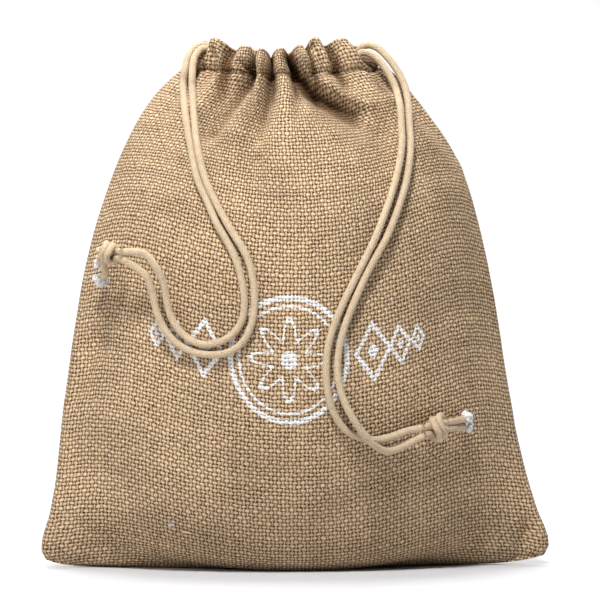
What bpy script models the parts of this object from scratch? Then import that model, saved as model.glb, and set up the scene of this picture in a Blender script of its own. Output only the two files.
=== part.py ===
"""A jute drawstring bag, standing filled out and drawn shut, with two doubled cords hanging down its front.

Metres, +Z up. The front of the bag faces -Y and its width runs along X. The origin is on the floor,
under the middle of the bag.
"""

from math import atan2, cos, exp, pi, radians, sin, sqrt, tau

import bmesh
import bpy
from mathutils import Matrix, Vector
from mathutils.bvhtree import BVHTree

MM = 0.001

# The cloth: one length of jute folded at the bottom and sewn up both sides, 250 x 300 mm when it lies flat
FLAT_WIDTH = 250 * MM
CLOTH_THICK = 1.6 * MM
SEAM_NOSE = 3.2 * MM
SEAM_NOSE_START = 7 * MM
COLUMNS = 92
ROW_HEIGHTS_MM = (
    0, 8, 18, 28, 34, 41, 48, 55, 68, 86, 108, 130, 152,
    174, 194, 210, 224, 236, 247, 257, 266, 274, 281, 287, 293, 300,
)

# The middle of the panels at a height up the cloth, all in mm: how far the front and the back stand out,
# how high that place is above the floor, and how much the row, seen from above, is an arc (0) or
# a half ellipse (1)
MIDDLE = (
    # cloth, front, back, z, rounded
    (0, 0, 0, 0, 0.0),
    (28, 28, 26.5, 0, 0.0),
    (41, 39.5, 37, 5.2, 0.0),
    (55, 47.5, 44.5, 16.5, 0.0),
    (80, 57, 53.5, 39.6, 0.0),
    (110, 63, 59, 69, 0.0),
    (150, 65, 61, 109, 0.0),
    (190, 62.5, 58.5, 149, 0.15),
    (225, 55, 51, 183, 0.4),
    (250, 46, 42.5, 206, 0.65),
    (268, 37.5, 34.5, 221.5, 0.85),
    (282, 31, 29, 233, 1.0),
    (300, 27.5, 26, 246, 1.0),
)

# Both side seams at a height up the cloth, in mm, and how sharply a row rises towards them
SIDES = (
    # cloth, left_x, left_z, left_sweep, right_x, right_z, right_sweep
    (0, -122.5, 8.0, 16.0, 122.5, 11.0, 7.0),
    (22, -118.0, 26.0, 2.6, 116.2, 27.5, 2.6),
    (50, -114.6, 45.0, 1.9, 110.8, 45.5, 1.9),
    (95, -110.6, 85.0, 1.65, 103.0, 85.0, 1.65),
    (155, -100.6, 143.5, 1.6, 93.0, 143.5, 1.6),
    (210, -85.2, 195.0, 1.6, 78.6, 195.0, 1.6),
    (250, -68.0, 226.0, 1.6, 58.0, 226.0, 1.6),
    (278, -55.0, 239.5, 1.7, 44.0, 239.5, 1.7),
    (300, -47.0, 246.5, 2.0, 33.0, 246.5, 2.0),
)

# The gathers of the drawn hem: where each ridge stands round the mouth, from the left seam (0) past the front
# to the right seam (0.5) and back, how deep the furrow after it is, how far down the cloth it fades out,
# and how much its top edge stands up, in mm
GATHERS = (
    # around, furrow, foot, rise
    (0.028, 4.5, 236, 0.5),
    (0.114, 3.8, 246, 5.0),
    (0.180, 2.6, 258, 2.4),
    (0.216, 3.4, 256, 0.8),
    (0.253, 2.4, 262, 1.8),
    (0.290, 3.0, 262, 2.6),
    (0.352, 4.0, 240, 6.2),
    (0.452, 4.5, 238, 1.5),
    (0.535, 5.0, 228, 0.0),
    (0.600, 5.5, 222, 1.0),
    (0.668, 6.0, 216, 2.0),
    (0.735, 5.5, 224, 0.5),
    (0.800, 6.0, 214, 1.5),
    (0.868, 5.0, 226, 2.0),
    (0.940, 5.0, 232, 0.5),
)

# The main creases of the front, as seen from in front, in mm: three places along each, its depth at
# the two ends, and its half width at the two ends
CREASES = (
    # x0, z0, x1, z1, x2, z2, depth0, depth1, half0, half1
    (-10.1, 236.5, -14.5, 220.5, -19.0, 198.0, 7.5, 2.0, 3.8, 8.5),
    (-23.0, 232.5, -29.5, 222.0, -37.5, 192.0, 4.0, 1.6, 4.0, 11.0),
    (3.4, 234.5, 13.0, 224.5, 32.0, 216.5, 6.5, 3.0, 4.6, 6.5),
    (7.4, 246.0, 9.5, 241.5, 12.5, 237.5, 2.4, 1.6, 2.6, 2.6),
    (-36.0, 240.0, -43.0, 233.0, -49.5, 225.0, 5.5, 2.5, 3.6, 4.6),
    (31.0, 243.0, 40.0, 235.5, 50.0, 222.0, 5.5, 2.5, 3.6, 5.5),
    (52.0, 219.0, 62.0, 214.0, 74.0, 209.5, 2.2, 1.2, 5.0, 5.0),
    (44.0, 208.0, 49.0, 190.0, 50.0, 170.0, 2.6, 1.0, 8.0, 13.0),
    (-22.0, 196.0, -27.0, 180.0, -29.0, 165.0, 2.4, 0.8, 9.0, 13.0),
    (-96.0, 108.0, -102.0, 98.0, -107.0, 84.0, 2.2, 1.6, 6.0, 6.0),
    (113.0, 20.0, 111.0, 13.0, 108.0, 6.5, 3.4, 1.4, 3.6, 5.0),
)

# The round cotton cords, one in the hem from each side, both ends of each coming out at the same seam
CORD = 3.4 * MM
CORD_GAP = 0.35 * MM
CORD_STEP = 7.5 * MM

# The eye that the routes are seen from: each laid place is where the cord passes in front of the plane Y = 0
EYE = Vector((-0.140, -1.995, 0.170))

# Each run comes out of the hem in free places (x, y, z) and is then laid on the cloth: x and z in the
# plane Y = 0 as the eye sees them, and how far the cord stands off the cloth, all in mm
LEFT_OUTER_FREE = (
    (-46.4, -4.6, 248.6), (-48.6, -6.6, 249.6), (-51.8, -10.0, 245.8), (-54.2, -14.5, 240.5),
    (-55.6, -18.0, 234.5),
)
LEFT_OUTER_LAID = (
    (-54.5, 228.5, 1.0), (-53.2, 214.1, 0.5), (-50.6, 199.7, 0), (-47.0, 185.3, 0), (-42.2, 174.7, 0),
    (-37.9, 164.6, 0), (-33.6, 157.0, 0), (-30.2, 150.7, 0), (-27.4, 143.5, 0), (-25.4, 134.9, 0),
    (-24.5, 126.7, 0), (-25.4, 119.0, 0), (-28.8, 112.8, 0), (-34.6, 108.4, 0), (-42.5, 106.6, 0),
    (-49.2, 108.5, 0), (-55.0, 113.3, 0.3), (-58.8, 120.0, 1.0), (-60.2, 128.2, 2.5), (-60.2, 135.4, 5.0),
    (-61.8, 143.0, 8.5), (-65.4, 148.4, 11.0),
)
LEFT_INNER_FREE = (
    (-43.8, -11.0, 248.6), (-45.8, -12.6, 249.8), (-48.2, -15.5, 246.4), (-50.4, -19.5, 240.0),
    (-51.2, -23.0, 233.5),
)
LEFT_INNER_LAID = (
    (-50.4, 227.0, 0.8), (-49.2, 214.1, 0.4), (-46.9, 199.7, 0), (-43.2, 185.3, 0), (-38.6, 175.0, 0),
    (-33.1, 164.6, 0), (-28.8, 157.4, 0), (-24.2, 149.8, 0), (-21.6, 142.6, 0), (-20.2, 134.4, 0),
    (-19.8, 125.8, 0), (-20.8, 117.4, 0), (-23.8, 109.8, 0), (-28.6, 104.6, 0), (-35.2, 102.0, 0),
    (-43.9, 102.0, 0), (-51.6, 104.4, 0), (-58.2, 109.2, 0.3), (-62.9, 115.8, 1.0), (-65.2, 123.4, 2.0),
    (-65.6, 132.4, 4.5), (-67.0, 139.8, 8.0),
)
RIGHT_OUTER_FREE = (
    (33.6, -4.5, 247.2), (37.6, -5.5, 248.4), (43.4, -8.5, 244.0), (48.6, -13.0, 236.8), (51.8, -17.5, 229.5),
)
RIGHT_OUTER_LAID = (
    (54.2, 219.0, 2.0), (55.2, 210.0, 1.5), (54.7, 199.7, 1.0), (52.2, 185.3, 1.0), (47.5, 170.9, 1.0),
    (42.0, 157.4, 1.0), (36.5, 146.9, 1.0), (31.9, 137.8, 1.0), (27.4, 127.7, 1.0), (23.8, 118.1, 0.8),
    (21.1, 109.4, 0.6), (19.6, 100.8, 0.6), (19.2, 92.2, 1.0), (20.6, 83.3, 2.2), (23.2, 75.8, 3.8),
    (27.2, 68.6, 5.0), (33.0, 61.2, 4.8), (38.8, 57.0, 2.0), (43.6, 55.8, 1.2), (49.6, 58.2, 1.8),
)
RIGHT_INNER_FREE = (
    (33.6, -10.6, 244.8), (36.0, -12.0, 244.6), (40.4, -15.0, 239.6), (44.4, -18.5, 233.6),
)
RIGHT_INNER_LAID = (
    (48.2, 225.5, 1.0), (50.6, 214.0, 0.8), (49.9, 199.7, 0.5), (46.9, 185.3, 0.5), (42.2, 170.9, 0.5),
    (37.0, 157.4, 0.5), (32.0, 146.9, 0.5), (27.1, 136.8, 0.5), (22.8, 127.7, 0.5), (18.7, 118.1, 0.3),
    (15.7, 108.5, 0), (14.3, 98.9, 0), (14.2, 89.3, 0), (15.6, 79.7, 0), (18.5, 71.8, 0), (23.5, 65.3, 0),
    (30.2, 61.8, 0), (38.0, 60.9, 0), (46.4, 63.1, 0.8), (51.4, 65.4, 1.8),
)

# The knots: both ends of each as the eye sees them and how far they stand off the cloth, in mm
LEFT_KNOT = ((-72.4, 147.4, 12.0), (-83.6, 148.6, 11.0))
RIGHT_KNOT = ((58.0, 65.4, 2.4), (69.2, 67.8, 2.2))
KNOT_RADIUS = 3.6 * MM
KNOT_SEAT = 0.4 * MM
TAIL_SEAT = 0.9 * MM
CORDS_APART = 1.95 * MM
WRAP_RADIUS = 3.9 * MM
WRAP_THICK = 1.7 * MM
WRAP_PLACES = (-0.46, 0.02, 0.46)
WRAP_LEANS = (radians(27), radians(24), radians(-31))

# The free ends past each knot, laid as the runs are, opening into a frayed tip
TAIL = 3.2 * MM
LEFT_TAIL_A = ((-87.8, 149.4, 11.0), (-90.2, 146.6, 9.5))
LEFT_TAIL_B = ((-86.6, 141.6, 7.0), (-89.4, 137.8, 5.0))
RIGHT_TAIL_A = ((75.4, 70.8, 2.4), (80.4, 71.8, 2.2))
RIGHT_TAIL_B = ((75.6, 65.8, 1.6), (80.8, 66.4, 1.2))
FRAY_LENGTH = 5.0 * MM
FRAY_SPREAD = 1.5

JUTE = (0.41, 0.27, 0.155, 1.0)
COTTON = (0.62, 0.47, 0.29, 1.0)
COTTON_END = (0.80, 0.78, 0.73, 1.0)


def material(name, colour, roughness):
    """A plain finish for the drawing of the part."""
    made = bpy.data.materials.new(name)
    made.use_nodes = True
    shader = made.node_tree.nodes["Principled BSDF"]
    shader.inputs["Base Color"].default_value = colour
    shader.inputs["Roughness"].default_value = roughness
    shader.inputs["Metallic"].default_value = 0.0
    return made


def add_object(name, data, collection, finish):
    """Puts a mesh or a curve in the part's collection under its own name."""
    made = bpy.data.objects.new(name, data)
    made.data.materials.append(finish)
    collection.objects.link(made)
    return made


def ease(value):
    """A step from 0 to 1 with level ends."""
    value = min(max(value, 0.0), 1.0)
    return value * value * (3.0 - 2.0 * value)


def read_rows(rows, at):
    """Every column of a table at one place down it, on a smooth curve through the rows."""
    last = len(rows) - 1
    i = 0
    while i < last - 1 and rows[i + 1][0] < at:
        i += 1
    before, low, high, after = rows[max(i - 1, 0)], rows[i], rows[i + 1], rows[min(i + 2, last)]
    span = high[0] - low[0]
    share = min(max((at - low[0]) / span, 0.0), 1.0)
    values = []
    for column in range(1, len(low)):
        slope = (high[column] - low[column]) / span
        into = (low[column] - before[column]) / (low[0] - before[0]) if i > 0 else slope
        out = (after[column] - high[column]) / (after[0] - high[0]) if i + 2 <= last else slope
        start = 0.0 if into * slope <= 0 else 2 * into * slope / (into + slope)
        end = 0.0 if out * slope <= 0 else 2 * out * slope / (out + slope)
        a, b = share * share * (3 - 2 * share), share - 2 * share**2 + share**3
        c = share**3 - share**2
        values.append(low[column] * (1 - a) + high[column] * a + span * (start * b + end * c))
    return values


def cloth_place(around, height_mm):
    """A point of the cloth before the creases: around is 0 at the left seam and 0.5 at the right one."""
    front = around <= 0.5
    across = 2 * around if front else 2 - 2 * around
    out_front, out_back, z_middle, rounded = read_rows(MIDDLE, height_mm)
    left_x, left_z, left_sweep, right_x, right_z, right_sweep = read_rows(SIDES, height_mm)
    out = (out_front if front else out_back) * MM
    half = (right_x - left_x) / 2 * MM
    nose = SEAM_NOSE * min(out / SEAM_NOSE_START, 1.0)
    arc = 2 * atan2(out - nose, half)
    bend = arc * (1 - rounded) + pi / 2 * rounded
    along = 2 * across - 1
    x = (left_x + right_x) / 2 * MM + half * (sin(bend * along) / sin(bend) if bend > 1e-6 else along)
    to_seam = min(across, 1 - across) * FLAT_WIDTH
    lip = sqrt(max(0.0, 1 - (1 - min(to_seam / SEAM_NOSE, 1.0)) ** 2))
    swell = (cos(bend * along) - cos(bend)) / (1 - cos(bend)) if bend > 1e-6 else 0.0
    y = (out - nose) * swell + nose * lip
    side_z, sweep = (left_z, left_sweep) if along < 0 else (right_z, right_sweep)
    z = (z_middle + (side_z - z_middle) * abs(along) ** sweep) * MM
    return Vector((x, -y if front else y, max(z, 0.0)))


def gather_at(around, height_mm):
    """How far the drawn hem is pushed in at a place, and how much its edge stands up, in mm."""
    count = len(GATHERS)
    starts = [row[0] for row in GATHERS]
    i = max((n for n in range(count) if starts[n] <= around), default=count - 1)
    this, following = GATHERS[i], GATHERS[(i + 1) % count]
    span = (following[0] - this[0]) % 1.0
    share = ((around - this[0]) % 1.0) / span
    strength = ease((height_mm - this[2]) / (290 - this[2]))
    inward = this[1] * strength * (1 - cos(tau * share)) / 2
    edge = ease((height_mm - 284) / 16)
    rise = (this[3] * (1 + cos(pi * share)) + following[3] * (1 - cos(pi * share))) / 2
    return inward, rise * edge


def crease_at(x, z):
    """How far the front is pushed in by the main creases at a place seen from in front, in mm."""
    total = 0.0
    for x0, z0, x1, z1, x2, z2, depth0, depth1, half0, half1 in CREASES:
        nearest, reached = 1e9, 0.0
        places = ((x0, z0), (x1, z1), (x2, z2))
        for step in range(2):
            (ax, az), (bx, bz) = places[step], places[step + 1]
            length = (bx - ax) ** 2 + (bz - az) ** 2
            share = min(max(((x - ax) * (bx - ax) + (z - az) * (bz - az)) / length, 0.0), 1.0)
            away = sqrt((x - ax - share * (bx - ax)) ** 2 + (z - az - share * (bz - az)) ** 2)
            if away < nearest:
                nearest, reached = away, (step + share) / 2
        half = half0 + (half1 - half0) * reached
        total += (depth0 + (depth1 - depth0) * reached) * exp(-((nearest / half) ** 2))
    return total


def make_cloth():
    """The bag's cloth as an open sheet: a grid bent round, closed at the side seams and the bottom fold."""
    rows = len(ROW_HEIGHTS_MM) - 1
    sheet = bmesh.new()
    bmesh.ops.create_grid(sheet, x_segments=COLUMNS, y_segments=rows, size=1.0)
    placed = {}
    for vertex in sheet.verts:
        column = round((vertex.co.x + 1) / 2 * COLUMNS)
        row = round((vertex.co.y + 1) / 2 * rows)
        placed[vertex] = (column / COLUMNS, ROW_HEIGHTS_MM[row])
    for vertex, (around, height) in placed.items():
        vertex.co = cloth_place(around, height)
    sheet.normal_update()
    front = min(sheet.verts, key=lambda v: v.co.y)
    if front.normal.y > 0:
        bmesh.ops.reverse_faces(sheet, faces=sheet.faces)
        sheet.normal_update()
    moves = {}
    for vertex, (around, height) in placed.items():
        inward, rise = gather_at(around, height)
        if around <= 0.5:
            inward += crease_at(vertex.co.x / MM, vertex.co.z / MM)
        calm = 1.0 - 0.6 * exp(-((min(around, abs(around - 0.5), 1 - around) / 0.012) ** 2))
        level = Vector((vertex.normal.x, vertex.normal.y, vertex.normal.z * 0.5))
        moves[vertex] = -level.normalized() * inward * calm * MM + Vector((0, 0, rise * MM))
    for vertex, move in moves.items():
        vertex.co += move
        vertex.co.z = max(vertex.co.z, 0.0)
    bmesh.ops.remove_doubles(sheet, verts=sheet.verts, dist=0.05 * MM)
    return sheet


def lay_place(surface, place, radius):
    """Where a cord lies for a place that the eye sees on the cloth."""
    x, z, lift = (value * MM for value in place)
    target = Vector((x, 0.0, z))
    ray = (target - EYE).normalized()
    hit, normal, _, _ = surface.ray_cast(EYE, ray)
    if normal.dot(ray) > 0:
        normal = -normal
    return hit + normal * (radius + CORD_GAP + lift)


def bridge(points):
    """A cord is stiffer than cloth: it spans the furrows and eases over the ridges."""
    for _ in range(3):
        smooth = [points[0]]
        for before, here, after in zip(points, points[1:], points[2:]):
            middle = (before + after) / 2
            depth = min(here.y, here.y * 0.5 + middle.y * 0.5)
            smooth.append(Vector((here.x, depth, here.z)))
        smooth.append(points[-1])
        points = smooth
    return points


def along_curve(points, spacing):
    """Places a step apart along a smooth curve through the route's own points."""
    fine = []
    padded = [2 * points[0] - points[1], *points, 2 * points[-1] - points[-2]]
    for a, b, c, d in zip(padded, padded[1:], padded[2:], padded[3:]):
        for k in range(24):
            u = k / 24
            curved = (2 * a - 5 * b + 4 * c - d) * u * u + (3 * b - a - 3 * c + d) * u**3
            fine.append(0.5 * (2 * b + (c - a) * u + curved))
    fine.append(points[-1])
    lengths = [0.0]
    for a, b in zip(fine, fine[1:]):
        lengths.append(lengths[-1] + (b - a).length)
    count = max(2, round(lengths[-1] / spacing))
    found, i = [], 0
    for step in range(count + 1):
        wanted = lengths[-1] * step / count
        while i < len(fine) - 2 and lengths[i + 1] < wanted:
            i += 1
        share = (wanted - lengths[i]) / max(lengths[i + 1] - lengths[i], 1e-9)
        found.append(fine[i].lerp(fine[i + 1], min(share, 1.0)))
    return found


def make_tube(name, places, diameter, collection, finish, flare=0.0):
    """A round cord or free end as a bevelled curve with closed ends, its tip opened out where it frays."""
    data = bpy.data.curves.new(name, "CURVE")
    data.dimensions = "3D"
    data.bevel_depth = diameter / 2
    data.bevel_resolution = 2
    data.use_fill_caps = True
    spline = data.splines.new("POLY")
    spline.points.add(len(places) - 1)
    total = sum((b - a).length for a, b in zip(places, places[1:]))
    gone = 0.0
    for i, place in enumerate(places):
        spline.points[i].co = (*place, 1.0)
        if i:
            gone += (place - places[i - 1]).length
        spline.points[i].radius = 1.0 + flare * ease(1 - (total - gone) / FRAY_LENGTH) if flare else 1.0
    print(f"{name}: {total * 1000:.0f} mm long")
    return add_object(name, data, collection, finish)


def knot_frame(surface, knot):
    """The knot's two ends, and a turn whose X runs along it and whose Y points upwards across it."""
    start, end = (lay_place(surface, place, KNOT_RADIUS) for place in knot)
    along = (end - start).normalized()
    out = Vector((0, -1, 0))
    up = along.cross(out).normalized()
    up = up if up.z > 0 else -up
    turn = Matrix((along, up, along.cross(up))).transposed().to_4x4()
    return start, end, up, Matrix.Translation((start + end) / 2) @ turn


def make_knot(name, frame, collection, finish):
    """An overhand knot in the doubled cord: a core with the wraps of both cords leaning round it."""
    start, end, _, turn = frame
    half = (end - start).length / 2
    core = bmesh.new()
    bmesh.ops.create_uvsphere(core, u_segments=18, v_segments=12, radius=1.0)
    bmesh.ops.scale(core, vec=(KNOT_RADIUS, KNOT_RADIUS, half), verts=core.verts)
    bmesh.ops.rotate(core, matrix=Matrix.Rotation(pi / 2, 3, "Y"), verts=core.verts)
    bmesh.ops.transform(core, matrix=turn, verts=core.verts)
    mesh = bpy.data.meshes.new(name)
    core.to_mesh(mesh)
    core.free()
    made = add_object(name, mesh, collection, finish)
    for n, (place, leaning) in enumerate(zip(WRAP_PLACES, WRAP_LEANS)):
        bpy.ops.mesh.primitive_torus_add(
            major_segments=18,
            minor_segments=8,
            major_radius=WRAP_RADIUS - WRAP_THICK / 2,
            minor_radius=WRAP_THICK,
        )
        wrap = bpy.context.active_object
        wrap.name = f"{name}_wrap_{n + 1}"
        lean = Matrix.Rotation(leaning, 4, "Z") @ Matrix.Rotation(leaning / 7, 4, "Y")
        upright = Matrix.Rotation(pi / 2, 4, "Y")
        wrap.matrix_world = turn @ Matrix.Translation((place * half, 0, 0)) @ lean @ upright
        wrap.hide_render = True
        wrap.display_type = "WIRE"
        union = made.modifiers.new(wrap.name, "BOOLEAN")
        union.operation = "UNION"
        union.solver = "MANIFOLD"
        union.object = wrap
    return made


def make_part():
    """The cloth, the four runs of cord, the two knots and the four free ends."""
    for old in list(bpy.data.objects):
        bpy.data.objects.remove(old, do_unlink=True)
    part = bpy.data.collections.new("drawstring bag")
    bpy.context.scene.collection.children.link(part)
    jute = material("jute", JUTE, 0.9)
    cotton = material("cotton cord", COTTON, 0.6)
    frayed = material("frayed cotton", COTTON_END, 0.9)

    sheet = make_cloth()
    surface = BVHTree.FromBMesh(sheet)
    mesh = bpy.data.meshes.new("bag_cloth")
    sheet.to_mesh(mesh)
    sheet.free()
    mesh.shade_smooth()
    cloth = add_object("bag_cloth", mesh, part, jute)
    wall = cloth.modifiers.new("cloth thickness", "SOLIDIFY")
    wall.thickness = CLOTH_THICK
    wall.offset = -1.0

    knots = {"left": knot_frame(surface, LEFT_KNOT), "right": knot_frame(surface, RIGHT_KNOT)}
    for side, frame in knots.items():
        make_knot(f"knot_{side}", frame, part, cotton)

    runs = {
        "cord_left_outer": (LEFT_OUTER_FREE, LEFT_OUTER_LAID, "left", 1),
        "cord_left_inner": (LEFT_INNER_FREE, LEFT_INNER_LAID, "left", -1),
        "cord_right_outer": (RIGHT_OUTER_FREE, RIGHT_OUTER_LAID, "right", -1),
        "cord_right_inner": (RIGHT_INNER_FREE, RIGHT_INNER_LAID, "right", 1),
    }
    for name, (free, laid, side, level) in runs.items():
        start, end, up, _ = knots[side]
        entry = start - (end - start).normalized() * KNOT_SEAT + up * level * CORDS_APART
        route = [Vector(place) * MM for place in free]
        route += bridge([lay_place(surface, place, CORD / 2) for place in laid])
        make_tube(name, along_curve([*route, entry], CORD_STEP), CORD, part, cotton)

    tails = {
        "tail_left_a": (LEFT_TAIL_A, "left", 1),
        "tail_left_b": (LEFT_TAIL_B, "left", -1),
        "tail_right_a": (RIGHT_TAIL_A, "right", 1),
        "tail_right_b": (RIGHT_TAIL_B, "right", -1),
    }
    for name, (laid, side, level) in tails.items():
        start, end, up, _ = knots[side]
        leaving = end + (end - start).normalized() * TAIL_SEAT + up * level * CORDS_APART
        route = [lay_place(surface, place, TAIL / 2) for place in laid]
        make_tube(name, along_curve([leaving, *route], TAIL), TAIL, part, frayed, FRAY_SPREAD - 1.0)


make_part()
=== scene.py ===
# %% [markdown]
# # A jute drawstring bag
#
# We dress the solid model of a small jute bag so that it looks like the real one. The bag stands filled
# out, its hem is drawn shut, and two doubled cotton cords hang down its front to a knot on each side.
# First the frame is loaded: it holds the plain solids, and everything here is placed by it.

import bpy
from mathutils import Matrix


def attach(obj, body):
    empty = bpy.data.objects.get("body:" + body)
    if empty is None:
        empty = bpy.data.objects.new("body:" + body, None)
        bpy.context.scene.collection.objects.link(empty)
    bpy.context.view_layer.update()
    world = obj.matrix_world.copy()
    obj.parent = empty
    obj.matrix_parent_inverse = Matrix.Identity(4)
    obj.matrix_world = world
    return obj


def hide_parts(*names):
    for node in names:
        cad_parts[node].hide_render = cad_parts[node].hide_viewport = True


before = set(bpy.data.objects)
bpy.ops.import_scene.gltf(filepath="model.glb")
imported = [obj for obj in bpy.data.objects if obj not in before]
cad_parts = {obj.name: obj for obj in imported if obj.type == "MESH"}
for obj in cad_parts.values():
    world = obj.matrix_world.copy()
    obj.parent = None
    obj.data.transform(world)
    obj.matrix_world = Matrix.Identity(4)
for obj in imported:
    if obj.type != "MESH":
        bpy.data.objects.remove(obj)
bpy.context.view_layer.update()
print("frame nodes:", ", ".join(sorted(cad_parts)))

# %% Modules and units
import random
from math import atan2, cos, exp, pi, sin, sqrt, tau

import bmesh
import bpy
from mathutils import Vector, noise
from mathutils.bvhtree import BVHTree

MM = 0.001
EYE = Vector((-0.140, -1.995, 0.170))
AIM = Vector((0.0019, 0.0, 0.1277))

# %% [markdown]
# ## Camera, floor and light
#
# The picture was taken with a long lens, a little above the floor and a little to the left of the bag's
# middle. A long lens keeps the sides nearly parallel, so the camera stands two metres away with 250 mm.
# The floor sweeps up behind the bag in one curve, as in a photo studio, so no edge shows behind it.
# A small lamp above the front gives the cords and folds clear shadows. A broad one on the left and a pale
# world fill them, one above and behind lights the rim, and one lights the backdrop.

# %% Camera
camera_data = bpy.data.cameras.new("camera")
camera_data.lens = 250
camera_data.sensor_width = 36
camera_data.clip_end = 20
camera = bpy.data.objects.new("camera", camera_data)
camera.location = EYE
camera.rotation_euler = (AIM - EYE).to_track_quat("-Z", "Y").to_euler()
bpy.context.scene.collection.objects.link(camera)
bpy.context.scene.camera = camera


# %% Floor
SWEEP_FRONT, SWEEP_FLAT, SWEEP_RADIUS, SWEEP_TOP, SWEEP_HALF = 4.0, 2.1, 0.8, 3.2, 4.0
SWEEP_STEPS = 16


def finish_of(name, colour, roughness):
    """A new material with one plain Principled shader, and that shader."""
    made = bpy.data.materials.new(name)
    made.use_nodes = True
    shader = made.node_tree.nodes["Principled BSDF"]
    shader.inputs["Base Color"].default_value = (*colour, 1.0)
    shader.inputs["Roughness"].default_value = roughness
    return made, shader


def new_object(name, mesh, finish):
    """Links a mesh to the scene as an object at the origin, with its material."""
    mesh.materials.append(finish)
    made = bpy.data.objects.new(name, mesh)
    bpy.context.scene.collection.objects.link(made)
    return made


def mesh_of(name, built):
    """A mesh made from a bmesh, which is then freed."""
    mesh = bpy.data.meshes.new(name)
    built.to_mesh(mesh)
    built.free()
    return mesh


def make_floor():
    """A level floor that curves up into a backdrop: one edge, extruded along its profile."""
    profile = [(-SWEEP_FRONT, 0.0), (SWEEP_FLAT, 0.0)]
    for step in range(1, SWEEP_STEPS + 1):
        turn = pi / 2 * step / SWEEP_STEPS
        profile.append((SWEEP_FLAT + SWEEP_RADIUS * sin(turn), SWEEP_RADIUS * (1 - cos(turn))))
    profile.append((SWEEP_FLAT + SWEEP_RADIUS, SWEEP_TOP))
    sweep = bmesh.new()
    ends = [sweep.verts.new((side * SWEEP_HALF, profile[0][0], profile[0][1])) for side in (-1, 1)]
    edge = sweep.edges.new(ends)
    for y, z in profile[1:]:
        grown = bmesh.ops.extrude_edge_only(sweep, edges=[edge])["geom"]
        for vertex in (item for item in grown if isinstance(item, bmesh.types.BMVert)):
            vertex.co.y, vertex.co.z = y, z
        edge = next(item for item in grown if isinstance(item, bmesh.types.BMEdge))
    bmesh.ops.recalc_face_normals(sweep, faces=sweep.faces)
    mesh = mesh_of("studio_floor", sweep)
    mesh.shade_smooth()
    return mesh


floor_finish, _ = finish_of("studio white", (0.56, 0.56, 0.575), 0.9)
floor = new_object("studio_floor", make_floor(), floor_finish)

# %% Light
LAMPS = (
    # name, place, aim, width, height, power
    ("key", (-0.17, -0.66, 1.14), (0.0, 0.0, 0.12), 0.20, 0.20, 18.4),
    ("left", (-1.9, -1.2, 0.9), (0.0, 0.0, 0.12), 1.3, 1.3, 14.5),
    ("backdrop", (0.0, 2.1, 2.4), (0.0, 2.6, 0.0), 3.0, 1.0, 100.0),
    ("top", (-0.05, 0.30, 1.5), (0.0, 0.0, 0.0), 0.7, 0.5, 15.0),
)
for name, place, aim, width, height, power in LAMPS:
    lamp_data = bpy.data.lights.new(name, "AREA")
    lamp_data.shape = "RECTANGLE"
    lamp_data.size, lamp_data.size_y = width, height
    lamp_data.energy = power
    lamp = bpy.data.objects.new(name, lamp_data)
    lamp.location = place
    lamp.rotation_euler = (Vector(aim) - Vector(place)).to_track_quat("-Z", "Y").to_euler()
    bpy.context.scene.collection.objects.link(lamp)
world = bpy.data.worlds.new("studio")
world.use_nodes = True
world.node_tree.nodes["Background"].inputs["Color"].default_value = (1.0, 1.0, 1.0, 1.0)
world.node_tree.nodes["Background"].inputs["Strength"].default_value = 0.18
bpy.context.scene.world = world
bpy.context.scene.view_settings.view_transform = "Standard"
print("lamps:", len(LAMPS))

# %% [markdown]
# ## The cloth's shape
#
# The bag is one length of jute folded at the bottom and sewn up both sides, 250 x 300 mm when it lies
# flat. Every point of the cloth has two numbers: how far round it is (0 at the left side seam, 0.5 at the
# right one) and how far up. Two short tables say where the middle of the panels and the side seams are at
# a height, and a smooth curve runs between them. It could be inflated by a cloth simulation, but the
# photo's own lean and corners are easier to set in such tables.

# %% Tables of the shape
FLAT_WIDTH = 250 * MM
SEAM_NOSE = 3.2 * MM
SEAM_NOSE_START = 7 * MM

MIDDLE = (
    # in mm: cloth from the fold up, out to the front, out to the back, z; and how round the panel is
    (0, 0, 0, 0, 0.0),
    (28, 28, 26.5, 0, 0.0),
    (41, 39.5, 37, 5.2, 0.0),
    (55, 47.5, 44.5, 16.5, 0.0),
    (80, 57, 53.5, 39.6, 0.0),
    (110, 63, 59, 69, 0.0),
    (150, 65, 61, 109, 0.0),
    (190, 62.5, 58.5, 149, 0.15),
    (225, 55, 51, 183, 0.4),
    (250, 46, 42.5, 206, 0.65),
    (268, 37.5, 34.5, 221.5, 0.85),
    (282, 31, 29, 233, 1.0),
    (300, 27.5, 26, 246, 1.0),
)
SIDES = (
    # in mm: cloth from the fold up, then x, z and sweep for the left seam and for the right one
    (0, -120.0, 3.6, 14.0, 120.0, 4.6, 9.0),
    (5, -122.3, 8.6, 7.0, 122.4, 9.8, 5.0),
    (22, -118.0, 26.0, 2.6, 116.2, 27.5, 2.6),
    (50, -114.6, 45.0, 1.9, 110.8, 45.5, 1.9),
    (95, -110.6, 85.0, 1.65, 103.0, 85.0, 1.65),
    (155, -100.6, 143.5, 1.6, 93.0, 143.5, 1.6),
    (210, -85.2, 195.0, 1.6, 78.6, 195.0, 1.6),
    (250, -68.0, 226.0, 1.6, 58.0, 226.0, 1.6),
    (278, -55.0, 239.5, 1.7, 46.0, 239.5, 1.7),
    (300, -47.0, 246.5, 2.0, 33.0, 246.5, 2.0),
)


def ease(value):
    """A step from 0 to 1 with level ends."""
    value = min(max(value, 0.0), 1.0)
    return value * value * (3.0 - 2.0 * value)


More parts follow.
